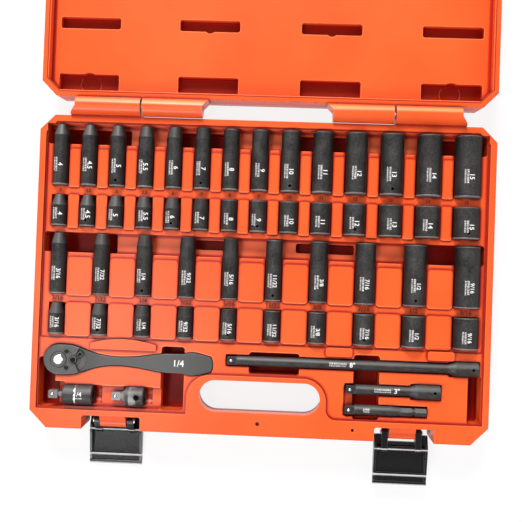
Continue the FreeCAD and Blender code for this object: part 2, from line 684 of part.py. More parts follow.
def fan():
    """The shallow fan-shaped recess that the reverse lever swings in."""
    reach = LEVER_LENGTH + 1.5
    sector = Part.makeCylinder(reach, FAN_DEPTH + 1, at_head(LEVER_PIVOT, 0, HEAD_TOP - FAN_DEPTH), Z_AXIS,
                               2 * FAN_HALF_ANGLE)
    sector.rotate(at_head(LEVER_PIVOT, 0, 0), Z_AXIS, -FAN_HALF_ANGLE)
    hub = Part.makeCylinder(3.2, FAN_DEPTH + 1, at_head(LEVER_PIVOT, 0, HEAD_TOP - FAN_DEPTH), Z_AXIS)
    return fused([sector, hub])


screw_places = [at_head(SCREW_R * 0.7, sign * SCREW_R * 0.714, 0) for sign in (-1, 1)]
plan = ratchet_plan(0)
plan.translate(V(0, 0, -HEAD_R))
handle = plan.extrude(V(0, 0, 2 * HEAD_R)).common(ratchet_side().extrude(V(0, 60, 0)))
handle_cuts = [
    Part.makeCylinder(CAVITY_R, HEAD_TOP, at_head(0, 0, CAVITY_FLOOR), Z_AXIS),
    Part.makeCylinder(PAWL_R + 0.4, HEAD_TOP, at_head(LEVER_PIVOT, 0, CAVITY_FLOOR), Z_AXIS),
    Part.makeCylinder(HUB_R + 0.3, HEAD_TOP, at_head(0, 0, HEAD_BOTTOM - 1), Z_AXIS),
    cover_plan(0.1, COVER_Z, HEAD_TOP),
    fan(),
]
handle_cuts += [Part.makeCylinder(1.1, HEAD_TOP, p + V(0, 0, HEAD_TOP - 7), Z_AXIS) for p in screw_places]
save("ratchet_handle", handle.cut(handle_cuts))

cover_cuts = [
    Part.makeCylinder(HUB_R + 0.3, HEAD_TOP, at_head(0, 0, COVER_Z - 1), Z_AXIS),
    Part.makeCylinder(1.7, HEAD_TOP, at_head(LEVER_PIVOT, 0, COVER_Z - 1), Z_AXIS),
    fan(),
]
for p in screw_places:
    cover_cuts.append(Part.makeCylinder(1.1, HEAD_TOP, p + V(0, 0, COVER_Z - 1), Z_AXIS))
    cover_cuts.append(Part.makeCylinder(1.85, HEAD_TOP, p + V(0, 0, HEAD_TOP - 1.2), Z_AXIS))
save("ratchet_cover", cover_plan(0, COVER_Z, COVER_SHEET).cut(cover_cuts))

screws = []
for p in screw_places:
    shank = Part.makeCylinder(1.0, 5.5, p + V(0, 0, HEAD_TOP - 6.6), Z_AXIS)
    head = Part.makeCylinder(1.75, 1.1, p + V(0, 0, HEAD_TOP - 1.15), Z_AXIS)
    slot = Part.makeBox(4, 0.6, 1, p + V(-2, -0.3, HEAD_TOP - 0.6))
    screws.append(fused([shank, head]).cut(slot))
save("ratchet_cover_screws", Part.makeCompound(screws))

GEAR_Z = CAVITY_FLOOR + 0.2
GEAR_TOP = COVER_Z - 0.2
SQUARE_TIP = HEAD_BOTTOM - 8.6
gear = gear_plan(GEAR_R, GEAR_TEETH, TOOTH, GEAR_Z).extrude(V(0, 0, GEAR_TOP - GEAR_Z))
boss = Part.makeCylinder(HUB_R, HEAD_TOP + 0.4 - GEAR_TOP, at_head(0, 0, GEAR_TOP), Z_AXIS)
spigot = Part.makeCylinder(HUB_R - 0.2, GEAR_Z - HEAD_BOTTOM + 0.2, at_head(0, 0, HEAD_BOTTOM - 0.2), Z_AXIS)
drive = square_bar(at_head(0, 0, SQUARE_TIP), Z_AXIS, SQUARE, HEAD_BOTTOM - SQUARE_TIP)
gear_ball = at_head(SQUARE / 2 + BALL_PROUD - BALL_R, 0, SQUARE_TIP + 3.4)
BUTTON_FLOOR = GEAR_TOP - 2
STEM_R = 1.5
gear = fused([gear, boss, spigot, drive]).cut([
    Part.makeCylinder(BUTTON_R + 0.2, HEAD_TOP, at_head(0, 0, BUTTON_FLOOR), Z_AXIS),
    Part.makeCylinder(STEM_R + 0.2, HEAD_TOP, gear_ball + V(BALL_R - BALL_PROUD - SQUARE / 2, 0, 0), Z_AXIS),
    Part.makeCylinder(BALL_R + 0.1, SQUARE, gear_ball - X_AXIS * (BALL_R + BALL_TRAVEL), X_AXIS),
])
save("ratchet_gear", gear)
save("ratchet_ball", ball_at(gear_ball))

button_z = BUTTON_FLOOR + 2
button = lathe(at_head(0, 0, button_z), Z_AXIS,
               [(0, BUTTON_R), (HEAD_TOP - button_z + 0.8, BUTTON_R),
                (HEAD_TOP - button_z + 1.5, BUTTON_R - 1)])
stem_z = gear_ball.z + BALL_R + 2
stem = Part.makeCylinder(STEM_R, button_z - stem_z, at_head(0, 0, stem_z), Z_AXIS)
save("ratchet_button", fused([button, stem]))

lever_z = HEAD_TOP - FAN_DEPTH + 0.15
arm_plan = ((-1.6, -1.3), (5.2, -1.0), (LEVER_LENGTH - 2.2, -2.1), (LEVER_LENGTH, -1.4), (LEVER_LENGTH, 1.4),
            (LEVER_LENGTH - 2.2, 2.1), (5.2, 1.0), (-1.6, 1.3))
arm = face_of([at_head(LEVER_PIVOT + t, s, lever_z) for t, s in arm_plan]).extrude(V(0, 0, FAN_DEPTH + 0.4))
hub = Part.makeCylinder(2.8, FAN_DEPTH + 0.7, at_head(LEVER_PIVOT, 0, lever_z), Z_AXIS)
shaft = Part.makeCylinder(1.4, lever_z - COVER_Z + 1.5, at_head(LEVER_PIVOT, 0, COVER_Z - 1.5), Z_AXIS)
reverse = fused([arm, hub, shaft])
reverse.rotate(at_head(LEVER_PIVOT, 0, 0), Z_AXIS, LEVER_REST)
save("ratchet_lever", reverse)

pawl = Part.makeCylinder(PAWL_R, GEAR_TOP - GEAR_Z - 0.4, at_head(LEVER_PIVOT, 0, GEAR_Z + 0.2), Z_AXIS)
pawl_cuts = [Part.makeCylinder(1.42, 4, at_head(LEVER_PIVOT, 0, COVER_Z - 1.6), Z_AXIS)]
pawl_cuts.append(Part.makeBox(6, 12, 12, at_head(LEVER_PIVOT + 2.2, -6, GEAR_Z)))
pawl_cuts.append(Part.makeCylinder(1.8, 12, at_head(LEVER_PIVOT - PAWL_R - 0.6, 0, GEAR_Z), Z_AXIS))
pawl = pawl.cut(pawl_cuts)
pawl.rotate(at_head(LEVER_PIVOT, 0, 0), Z_AXIS, LEVER_REST)
save("ratchet_pawl", pawl)


# Extension bars and the hex-shank adapter


def cross_hole(x, y):
    """Pin hole through the top wall of a square socket end."""
    return Part.makeCylinder(PIN_HOLE_R, 12, V(x, y, TOOL_Z), Z_AXIS)


def extension(x, length, y):
    """A bar with a square tang at the left and a square socket at the right."""
    start = V(x, y, TOOL_Z)
    drive_end, ball = tang(start)
    swell = length - COLLAR
    body = lathe(start + X_AXIS * TANG, X_AXIS,
                 [(0, BAR_R), (swell - 6 - TANG, BAR_R), (swell - TANG, COLLAR_R),
                  (length - TANG - 0.8, COLLAR_R), (length - TANG, COLLAR_R - 0.8)])
    inside = start + X_AXIS * (length - SQUARE_DEPTH)
    female = square_bar(inside, X_AXIS, SQUARE + SQUARE_PLAY, SQUARE_DEPTH + 1)
    whole = fused([drive_end, body])
    return whole.cut([female, cross_hole(x + length - 5, y), ball_seat(ball)]), ball


for name, bar in (("extension_8in", LONG_BAR), ("extension_3in", SHORT_BAR)):
    shape, ball = extension(*bar)
    save(name, shape)
    save(name + "_ball", ball_at(ball))

x, length, y = HEX_BAR
HEX_SHANK = 20.5
drive_end, ball = tang(V(x, y, TOOL_Z))
collar_end = length - HEX_SHANK
body = lathe(V(x + TANG, y, TOOL_Z), X_AXIS,
             [(0, BAR_R), (collar_end - TANG - 8, BAR_R + 0.3), (collar_end - TANG, BAR_R - 0.5)])
shank = hex_bar(V(x + collar_end - 1, y, TOOL_Z), X_AXIS, SQUARE, HEX_SHANK + 1)
groove_start = V(x + length - 11.5, y, TOOL_Z)
groove = Part.makeCylinder(BAR_R + 1, 2.4, groove_start, X_AXIS).cut(
    Part.makeCylinder(SQUARE / 2 - 0.35, 2.4, groove_start, X_AXIS))
save("hex_adapter", fused([drive_end, body, shank]).cut([groove, ball_seat(ball)]))
save("hex_adapter_ball", ball_at(ball))


# Swivel joint: the drive end's ball turns on a cross pin in the bell of the socket end

SWIVEL_BALL_R = 4.4
ball_x = BELL_X + 5.2
bell = lathe(V(BELL_X, SWIVEL_Y, TOOL_Z), X_AXIS,
             [(0, SWIVEL_R - 0.8), (1.2, SWIVEL_R), (BELL_LENGTH - 0.8, SWIVEL_R),
              (BELL_LENGTH, SWIVEL_R - 0.8)])
RING_X = BELL_X + 9.7
ring_room = Part.makeCylinder(SWIVEL_R + 1, 1.3, V(RING_X, SWIVEL_Y, TOOL_Z), X_AXIS).cut(
    Part.makeCylinder(SWIVEL_R - 1, 1.3, V(RING_X, SWIVEL_Y, TOOL_Z), X_AXIS))
mouth = Part.makeCone(6.5, SWIVEL_BALL_R + 0.4, ball_x - BELL_X, V(BELL_X, SWIVEL_Y, TOOL_Z), X_AXIS)
chamber = Part.makeCylinder(SWIVEL_BALL_R + 0.4, 5.2, V(ball_x, SWIVEL_Y, TOOL_Z), X_AXIS)
slots = Part.makeBox(7.4, 14.4, 3.0, V(ball_x - 3.7, SWIVEL_Y - 7.2, TOOL_Z - 1.5))
female = square_bar(V(BELL_X + BELL_LENGTH - SQUARE_DEPTH, SWIVEL_Y, TOOL_Z), X_AXIS, SQUARE + SQUARE_PLAY,
                    SQUARE_DEPTH + 1)
save("swivel_socket", bell.cut([ring_room, mouth, chamber, slots, female]))
ring = Part.makeCylinder(SWIVEL_R - 0.15, 1.1, V(RING_X + 0.1, SWIVEL_Y, TOOL_Z), X_AXIS).cut(
    Part.makeCylinder(SWIVEL_R - 0.95, 1.1, V(RING_X + 0.1, SWIVEL_Y, TOOL_Z), X_AXIS))
save("swivel_ring", ring)
PIN_R = 1.2
save("swivel_pin", Part.makeCylinder(PIN_R, 13.4, V(ball_x, SWIVEL_Y - 6.7, TOOL_Z), Y_AXIS))
drive_end, ball = tang(V(SWIVEL_X, SWIVEL_Y, TOOL_Z))
neck = Part.makeCylinder(2.4, ball_x - SWIVEL_X - TANG, V(SWIVEL_X + TANG - 0.5, SWIVEL_Y, TOOL_Z), X_AXIS)
knob = Part.makeSphere(SWIVEL_BALL_R, V(ball_x, SWIVEL_Y, TOOL_Z))
eye = Part.makeCylinder(PIN_R + 0.15, 20, V(ball_x, SWIVEL_Y - 10, TOOL_Z), Y_AXIS)
save("swivel_drive", fused([drive_end, neck, knob]).cut([eye, ball_seat(ball)]))
save("swivel_ball", ball_at(ball))


# Adapter from a three-eighths square socket to the quarter-inch tang

drive_end, ball = tang(V(ADAPTER_X, ADAPTER_Y, TOOL_Z))
body = lathe(V(ADAPTER_X + TANG - 0.5, ADAPTER_Y, TOOL_Z), X_AXIS,
             [(0, 3.0), (ADAPTER_NECK - TANG + 0.5, 4.2), (ADAPTER_NECK - TANG + 3, ADAPTER_R),
              (ADAPTER_NECK + ADAPTER_BODY - TANG - 0.3, ADAPTER_R),
              (ADAPTER_NECK + ADAPTER_BODY - TANG + 0.5, ADAPTER_R - 0.5)])
LARGE_SQUARE = 0.375 * INCH
LARGE_DEPTH = 11.0
adapter_end = V(ADAPTER_X + ADAPTER_NECK + ADAPTER_BODY, ADAPTER_Y, TOOL_Z)
female = square_bar(adapter_end - X_AXIS * LARGE_DEPTH, X_AXIS, LARGE_SQUARE + 0.2, LARGE_DEPTH + 1)
side_hole = Part.makeCylinder(2.4, 12, adapter_end - X_AXIS * (LARGE_DEPTH / 2), Z_AXIS)
save("drive_adapter", fused([drive_end, body]).cut([female, side_hole, ball_seat(ball)]))
save("drive_adapter_ball", ball_at(ball))
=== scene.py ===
import math
import random

import bmesh
import bpy
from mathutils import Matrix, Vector


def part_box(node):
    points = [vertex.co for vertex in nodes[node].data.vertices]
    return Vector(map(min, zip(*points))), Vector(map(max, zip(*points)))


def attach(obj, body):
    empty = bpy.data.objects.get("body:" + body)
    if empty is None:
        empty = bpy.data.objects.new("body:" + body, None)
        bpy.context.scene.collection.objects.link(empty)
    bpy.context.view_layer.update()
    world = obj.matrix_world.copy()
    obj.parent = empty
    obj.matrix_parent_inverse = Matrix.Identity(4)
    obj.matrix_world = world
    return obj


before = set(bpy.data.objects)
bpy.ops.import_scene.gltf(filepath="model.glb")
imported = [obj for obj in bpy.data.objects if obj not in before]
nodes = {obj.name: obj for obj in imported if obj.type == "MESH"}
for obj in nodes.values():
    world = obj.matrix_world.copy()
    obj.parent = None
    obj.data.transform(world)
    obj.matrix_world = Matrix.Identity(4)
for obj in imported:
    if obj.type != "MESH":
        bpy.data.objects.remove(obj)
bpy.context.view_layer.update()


# The base of the case is a blow-moulded double wall of bright orange polyethylene.
# Outside it is grained like leather, inside it is smooth with soft rounded edges,
# and every tool has a pocket of its own outline.

ORANGE = (0.82, 0.083, 0.010, 1.0)
ORANGE_PALE = (0.85, 0.106, 0.017, 1.0)
# A painted highlight colour for edges, pad fronts and trough floors.
ORANGE_LIT = (0.95, 0.30, 0.13, 1.0)
# A painted highlight colour for the hinge barrels.
ORANGE_GLEAM = (0.98, 0.42, 0.16, 1.0)
# A painted shade colour for crevices, gaps and pad rears.
ORANGE_SHADE_LINE = (0.36, 0.005, 0.001, 1.0)
# A painted shade colour for pockets and the line round the lid's rim.
ORANGE_SHADE_DEEP = (0.22, 0.003, 0.001, 1.0)
# Colour of the outer grain, also laid as painted shade on the outer walls.
ORANGE_GRAIN_SHADE = (0.50, 0.035, 0.008, 1.0)

HALF_X = 0.186
HALF_Y = 0.128
CORNER = 0.013
HINGE_Y = 0.136
BARREL_GAP = 0.0005
BARREL_LOW = 0.020
UNDERSIDE = 0.004
GRAIN_INSET = 0.001
RIM_WIDTH = 0.004
SEAM_INSET = 0.0034
SEAM_WIDTH = 0.0009
SEAM_LOW = 0.0290
BASE_WELL = 0.0165
LID_WELL = 0.0190
WELL_DEPTH = 0.0060
TROUGH = (0.0160, 0.0185)
PAD_TOPS = (0.0270, 0.0285)

EDGE_ROUND = 0.0016
CREVICE = 0.0030
GAP = 0.008
POCKET = 0.030
RAYS = 4
EDGE_LEAN = (0.01, 0.22)
PAD_LEAN = (0.02, 0.22)
POCKET_SHADE = (0.92, 0.70)
CREVICE_SHADE = (0.97, 0.76)
GAP_SHADE = (0.60, 0.25)
GLEAM_RISE = (0.20, 0.45)
GLEAM_FALL = (0.85, 0.60)
GLEAM_UP = 0.4
CLOUD_SCALE = 14.0
RIPPLE_SCALE = 60.0
PEBBLE_SCALE = 850.0
PEBBLE_DEPTH = 0.0004


class Value:
    """A socket that Python's own operators can work on."""

    def __init__(self, finish, socket):
        self.finish = finish
        self.socket = socket

    def math(self, operation, one, two):
        return self.finish.node("ShaderNodeMath", 0, {"operation": operation}, {0: one, 1: two})

    def __add__(self, other):
        return self.math("ADD", self, other)

    def __radd__(self, other):
        return self.math("ADD", other, self)

    def __sub__(self, other):
        return self.math("SUBTRACT", self, other)

    def __rsub__(self, other):
        return self.math("SUBTRACT", other, self)

    def __mul__(self, other):
        return self.math("MULTIPLY", self, other)

    def __rmul__(self, other):
        return self.math("MULTIPLY", other, self)

    def __gt__(self, other):
        return self.math("GREATER_THAN", self, other)

    def __lt__(self, other):
        return self.math("LESS_THAN", self, other)

    def __abs__(self):
        return self.math("ABSOLUTE", self, 0.0)

    def least(self, other):
        return self.math("MINIMUM", self, other)

    def most(self, other):
        return self.math("MAXIMUM", self, other)


class Finish:
    """One material: its shader's fixed sockets, and the nodes that vary over the surface."""

    def __init__(self, name, **fixed):
        self.material = bpy.data.materials.new(name)
        self.material.use_nodes = True
        self.tree = self.material.node_tree
        self.shader = self.tree.nodes["Principled BSDF"]
        for socket, value in fixed.items():
            self.shader.inputs[socket.replace("_", " ")].default_value = value

    def node(self, kind, output, settings, sockets):
        made = self.tree.nodes.new(kind)
        for setting, value in settings.items():
            setattr(made, setting, value)
        for socket, value in sockets.items():
            if isinstance(value, Value):
                self.tree.links.new(value.socket, made.inputs[socket])
            else:
                made.inputs[socket].default_value = value
        return Value(self, made.outputs[output])

    def drive(self, **values):
        """Link varying values to the shader."""
        for socket, value in values.items():
            self.tree.links.new(value.socket, self.shader.inputs[socket.replace("_", " ")])

    def place(self):
        """Position in the piece's own frame, which moves with it."""
        return self.node("ShaderNodeTexCoord", "Object", {}, {})

    def split(self, vector, axis):
        return self.node("ShaderNodeSeparateXYZ", axis, {}, {0: vector})

    def along(self, axis):
        return self.split(self.place(), axis)

    def facing(self, axis):
        """How far the surface faces along an axis of the piece's own frame."""
        return self.split(self.node("ShaderNodeTexCoord", "Normal", {}, {}), axis)

    def between(self, axis, low, high):
        """1 where the piece's own coordinate lies between two values, 0 elsewhere."""
        value = self.along(axis)
        return (value > low) * (value < high)

    def noise(self, scale, detail=2.0):
        return self.node("ShaderNodeTexNoise", "Fac", {},
                         {"Vector": self.place(), "Scale": scale, "Detail": detail})

    def blend(self, share, one, two):
        return self.node("ShaderNodeMix", 2, {"data_type": "RGBA"}, {0: share, 6: one, 7: two})

    def layered(self, tone, *layers):
        """Lay colours over a tone, each by its own share."""
        for share, colour in layers:
            tone = self.blend(share, tone, colour)
        return tone

    def ramp(self, share, low, high):
        return self.node("ShaderNodeMapRange", 0, {"clamp": True}, {0: share, 1: low, 2: high})

    def soft_edges(self, radius):
        return self.node("ShaderNodeBevel", "Normal", {"samples": RAYS}, {"Radius": radius})

    def edge_share(self, rounded):
        """Near 0 on flats and 1 where the rounded normal leans away from the face."""
        flat = self.node("ShaderNodeNewGeometry", "Normal", {}, {})
        lean = self.node("ShaderNodeVectorMath", "Value", {"operation": "DOT_PRODUCT"},
                         {0: rounded, 1: flat})
        return self.ramp(1.0 - lean, *EDGE_LEAN)

    def openness(self, reach):
        """1 in the open and less in corners and pockets."""
        return self.node("ShaderNodeAmbientOcclusion", "AO", {"samples": RAYS}, {"Distance": reach})

    def bumped(self, height, strength, distance, normal):
        return self.node("ShaderNodeBump", "Normal", {},
                         {"Height": height, "Strength": strength,
                          "Distance": distance, "Normal": normal})


def moulded_orange(name, middle, well, padded, seam):
    """Orange plastic, smooth within the rim around the middle and grained outside it, with painted
    shade in pockets, crevices, gaps, along pad rears and as a line round the lid's rim, painted
    highlights on edges, pad fronts, trough floors and hinge barrels, and the outer grain darkened
    with painted shade.
    """
    plastic = Finish(name, Specular_IOR_Level=0.12, Coat_Roughness=0.32)
    x = abs(plastic.along("X"))
    y = abs(plastic.along("Y") - middle)
    z = plastic.along("Z")
    cut_corner = (HALF_X + HALF_Y - CORNER - x - y) * math.sqrt(0.5)
    inset = cut_corner.least((HALF_X - x).least(HALF_Y - y))
    barrel = (y > HALF_Y + BARREL_GAP) * (z > BARREL_LOW)
    grained = (1.0 - (inset > GRAIN_INSET) * (z > UNDERSIDE)) * (1.0 - barrel)
    # Painted shade: a dark line round the lid's rim where its groove lies.
    groove = (inset > SEAM_INSET) * (inset < SEAM_INSET + SEAM_WIDTH) * (z > SEAM_LOW) * seam
    inside = (inset > RIM_WIDTH) * (z > UNDERSIDE)
    pads = plastic.between("Z", *PAD_TOPS) * padded
    # Painted light: trough floors are paled to stand for the light that reaches them.
    floors = plastic.between("Z", *TROUGH) * inside * padded

    rounded = plastic.soft_edges(EDGE_ROUND)
    # Painted highlight: edges are paled where the rounded normal leans from the face.
    edge_highlight = plastic.edge_share(rounded)
    # Painted light and shade on the pads: front edges paled, rear edges darkened.
    lean = plastic.split(rounded, "Y")
    sheltered = plastic.ramp(plastic.openness(POCKET), *POCKET_SHADE)
    # Painted shade: pockets darken with depth and with how closed in they are.
    sunken = plastic.ramp(z, well, well - WELL_DEPTH) * sheltered * inside
    # Painted shade: dark lines in crevices and narrow gaps, by how closed in they are.
    pinched = plastic.ramp(plastic.openness(CREVICE), *CREVICE_SHADE)
    narrow = plastic.ramp(plastic.openness(GAP), *GAP_SHADE)
    rearward = plastic.facing("Y")
    # Painted highlight: a pale band along the upper rear of the hinge barrels.
    gleam = plastic.ramp(rearward, *GLEAM_RISE) * plastic.ramp(rearward, *GLEAM_FALL)
    gleam = gleam * barrel * (plastic.facing("Z") > GLEAM_UP)
    # The pebbles also darken the outer walls as painted shade.
    pebbles = plastic.node("ShaderNodeTexVoronoi", "Distance", {"feature": "SMOOTH_F1"},
                           {"Vector": plastic.place(), "Scale": PEBBLE_SCALE})
    ripple = plastic.noise(RIPPLE_SCALE)
    cloud = plastic.ramp(plastic.noise(CLOUD_SCALE, 3.0), 0.35, 0.7)

    # A random orange cloud, with painted light and shade laid over it.
    tone = plastic.layered(
        plastic.blend(cloud, ORANGE, ORANGE_PALE),
        (floors * 0.35, ORANGE_LIT),
        (sunken * 0.95, ORANGE_SHADE_DEEP),
        (edge_highlight * (0.8 - 0.4 * padded), ORANGE_LIT),
        (plastic.ramp(0.0 - lean, *PAD_LEAN) * pads * 0.8, ORANGE_LIT),
        (plastic.ramp(lean, *PAD_LEAN) * pads * 0.9, ORANGE_SHADE_LINE),
        (pinched.most(narrow) * 0.95, ORANGE_SHADE_LINE),
        (groove * 0.8, ORANGE_SHADE_DEEP),
        (gleam * 0.6, ORANGE_GLEAM),
        (grained * plastic.ramp(pebbles, 0.25, 0.75) * 0.8, ORANGE_GRAIN_SHADE))
    relief = pebbles * grained + ripple * 0.25
    plastic.drive(Base_Color=tone,
                  Roughness=0.34 + grained * 0.2 + ripple * 0.08,
                  Coat_Weight=0.5 - sunken * 0.5,
                  Normal=plastic.bumped(relief, 0.35, PEBBLE_DEPTH, rounded))
    return plastic


def dress(name, finish):
    """Give a node its finish."""
    mesh = nodes[name].data
    mesh.materials.clear()
    mesh.materials.append(finish.material)


dress("case_base", moulded_orange("orange_base", 0.0, BASE_WELL, padded=1.0, seam=0.0))


# The lid is the base's twin, without pockets: a smooth sunken panel with rows of short
# recesses that stiffen it. It lies open flat behind the hinge.

dress("case_lid", moulded_orange("orange_lid", 2 * HINGE_Y, LID_WELL, padded=0.0, seam=1.0))


# Pins of hinge and latches are drawn steel wire, cut to length and pushed through the
# moulded knuckles and lugs, and bright where their ends show.

WIRE = ((0.45, 0.45, 0.46, 1), (0.68, 0.68, 0.69, 1))
wire_steel = Finish("drawn_wire", Metallic=1.0)
drawn = wire_steel.noise(300.0)
wire_steel.drive(Base_Color=wire_steel.blend(drawn, *WIRE), Roughness=0.25 + drawn * 0.2)
for pins in ("hinge_pins", "latch_pins"):
    dress(pins, wire_steel)


# Latches are injection-moulded black nylon: a link that swings on the base's lug and a
# lever with side flanges, a hook and a rolled lip that pulls over the lid's catch.

# Black nylon, and a painted highlight colour for its lines and edges.
NYLON = ((0.004, 0.004, 0.005, 1), (0.62, 0.62, 0.63, 1))
LATCH_GLEAMS = ((0.0001, 0.0013), (0.0076, 0.0097), (0.0298, 0.0308))
LATCH_ROUND = 0.0009


def glossy_nylon(name, lip):
    """Black nylon with painted highlights along lip, hook and pivot bar, told by their distance
    from the lip, and faintly on its edges.
    """
    nylon = Finish(name, Specular_IOR_Level=0.45)
    rounded = nylon.soft_edges(LATCH_ROUND)
    speckle = nylon.noise(900.0, 3.0)
    gleam = nylon.edge_share(rounded) * 0.12
    for near, far in LATCH_GLEAMS:
        gleam = gleam + nylon.between("Y", lip + near, lip + far) * 0.9
    gleam = nylon.ramp(gleam * (0.6 + 0.6 * nylon.noise(120.0)), 0.0, 1.0)
    nylon.drive(Base_Color=nylon.blend(gleam, *NYLON),
                Roughness=0.20 + speckle * 0.12,
                Normal=nylon.bumped(speckle, 0.2, 0.0002, rounded))
    return nylon


for side in ("left", "right"):
    low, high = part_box("latch_lever_" + side)
    nylon = glossy_nylon("latch_nylon_" + side, low.y)
    dress("latch_link_" + side, nylon)
    dress("latch_lever_" + side, nylon)


# Sockets are turned from chrome-molybdenum steel and phosphated black. Each size lies as a
# deep and a shallow one, with its size etched white above two rows of grey fine print.

PHOSPHATE = ((0.006, 0.005, 0.005, 1), (0.064, 0.061, 0.058, 1))
# A painted highlight colour for the nose cones, which face +Y.
NOSE_HIGHLIGHT = (0.16, 0.155, 0.15, 1)
SHADOW = (0.004, 0.003, 0.003, 1)
BARE_STEEL = (0.34, 0.33, 0.32, 1)
DRIVE_ENDS = (0.0708, 0.0373, -0.0182, -0.0513)
END_EDGE = 0.0001
END_RUB = 0.0010
SOCKET_ROUND = 0.0005
EVERYWHERE = 1.0
NOWHERE = (1.0, 1.1)


def phosphated(name, bare_share, bare_until=EVERYWHERE, band=NOWHERE):
    """Black phosphate, paler toward bare steel along edges and at the sockets' drive ends, with a
    painted
    highlight on faces turned to +Y, painted shade on the flanks and in gaps, and bare by a share:
    up to a place along X, and in patches within a band."""
    steel = Finish(name, Metallic=0.35, Specular_IOR_Level=0.38)
    crystal = steel.noise(2600.0)
    smear = steel.noise(90.0, 3.0)
    scale = steel.ramp(steel.noise(650.0, 4.0), 0.36, 0.64)
    rounded = steel.soft_edges(SOCKET_ROUND)
    # Edges and drive ends are paled toward bare steel.
    pale_edges = steel.edge_share(rounded) * 0.5
    for end in DRIVE_ENDS:
        pale_edges = pale_edges + steel.between("Y", end - END_EDGE, end + END_RUB) * (0.2 + smear)
    mottle = steel.ramp(smear, 0.3, 0.72) * 0.6 + scale * 0.4
    # Painted shade down the flanks, more toward +X, and in narrow gaps.
    sideways = steel.facing("X")
    flank = steel.ramp(sideways, 0.15, 0.80) * 0.75 + steel.ramp(sideways, -0.55, -0.95) * 0.6
    shade = steel.layered(
        steel.blend(mottle, *PHOSPHATE),
        (steel.ramp(steel.facing("Y"), 0.08, 0.25) * 0.5, NOSE_HIGHLIGHT),
        (flank, SHADOW),
        (steel.ramp(steel.openness(GAP), 0.95, 0.45) * 0.95, SHADOW))
    patches = steel.between("X", *band) * steel.ramp(smear, 0.42, 0.60)
    bare = bare_share * ((steel.along("X") < bare_until) + patches)
    bare = steel.ramp(pale_edges + bare, 0.0, 1.0)
    steel.drive(Base_Color=steel.blend(bare, shade, BARE_STEEL),
                Roughness=0.40 + smear * 0.12 + crystal * 0.08,
                Normal=steel.bumped(crystal, 0.15, 0.0001, rounded))
    return steel


phosphate = phosphated("black_phosphate", 0.0)

WHITE_MARK = ((0.80, 0.78, 0.76, 1), (0.95, 0.94, 0.93, 1))
GREY_MARK = ((0.18, 0.175, 0.17, 1), (0.72, 0.70, 0.68, 1))
etch_white = Finish("etched_white", Roughness=0.6)
fleck = etch_white.noise(1500.0)
etch_white.drive(Base_Color=etch_white.blend(fleck, *WHITE_MARK))
etch_grey = Finish("etched_grey", Roughness=0.6)
fleck = etch_grey.ramp(etch_grey.noise(1100.0), 0.35, 0.65)
etch_grey.drive(Base_Color=etch_grey.blend(fleck, *GREY_MARK))

METRIC = ("4", "4.5", "5", "5.5", "6", "7", "8", "9", "10", "11", "12", "13", "14", "15")
IMPERIAL = ("3/16", "7/32", "1/4", "9/32", "5/16", "11/32", "3/8", "7/16", "1/2", "9/16")
TOOL_HEIGHT = 0.027
DEEP_LENGTH = 0.0494
SHALLOW_LENGTH = 0.0254
ETCH = 0.00012
WRAP_STEP = 0.0004
CAP_SHARE = 0.7
LETTER_SWELL = 0.015
LETTER_STEPS = 3
LETTER_WELD = 1e-6
STROKES = (0.0006, 0.0013)
STROKE_LEANS = (-0.0001, 0.0002)
STROKE_GAPS = (0.00025, 0.0004)
UP = Vector((0, 0, 1))
RIGHT = Vector((1, 0, 0))
REAR = Vector((0, 1, 0))


def lettering(words, height):
    """Closed flat letters, centred, reading along X with their tops toward Y."""
    curve = bpy.data.curves.new("letters", "FONT")
    curve.body = words
    curve.size = height / CAP_SHARE
    curve.align_x = "CENTER"
    curve.align_y = "CENTER"
    curve.extrude = ETCH / 2
    curve.offset = height * LETTER_SWELL
    curve.resolution_u = LETTER_STEPS
    holder = bpy.data.objects.new("letters", curve)
    bpy.context.scene.collection.objects.link(holder)
    bpy.context.view_layer.update()
    solid = holder.evaluated_get(bpy.context.evaluated_depsgraph_get())
    mesh = bpy.data.meshes.new_from_object(solid)
    form = bmesh.new()
    form.from_mesh(mesh)
    bmesh.ops.remove_doubles(form, verts=form.verts, dist=LETTER_WELD)
    bpy.data.objects.remove(holder)
    bpy.data.curves.remove(curve)
    bpy.data.meshes.remove(mesh)
    return form


def fine_print(width, rows, seed):
    """Rows of short strokes in place of words, given as (centre across, height) pairs."""
    chance = random.Random(seed)
    form = bmesh.new()
    for middle, height in rows:
        x = -width / 2
        while x < width / 2 - STROKES[0]:
            stroke = min(chance.uniform(*STROKES), width / 2 - x)
            made = bmesh.ops.create_cube(form, size=1.0)["verts"]
            lean = chance.uniform(*STROKE_LEANS)
            for v in made:
                v.co = Vector((x + (v.co.x + 0.5) * stroke + v.co.y * lean,
                               middle + v.co.y * height,
                               v.co.z * ETCH))
            x += stroke + chance.uniform(*STROKE_GAPS)
    return form


def sliced(form):
    """Cut flat marks across into narrow bands so that they can follow a curve."""
    top = max(v.co.y for v in form.verts)
    low = min(v.co.y for v in form.verts)
    cuts = int((top - low) / WRAP_STEP)
    for k in range(1, cuts):
        level = low + (top - low) * k / cuts
        bmesh.ops.bisect_plane(form, geom=form.verts[:] + form.edges[:] + form.faces[:],
                               plane_co=(0, level, 0), plane_no=REAR)


def wrap(form, centre, along, across, radius, shift):
    """Lay flat marks round a bar: along is the reading direction, across that of their tops."""
    sliced(form)
    for v in form.verts:
        turn = (v.co.y + shift) / radius
        reach = radius + ETCH / 2 + v.co.z
        v.co = centre + along * v.co.x + (across * math.sin(turn) + UP * math.cos(turn)) * reach


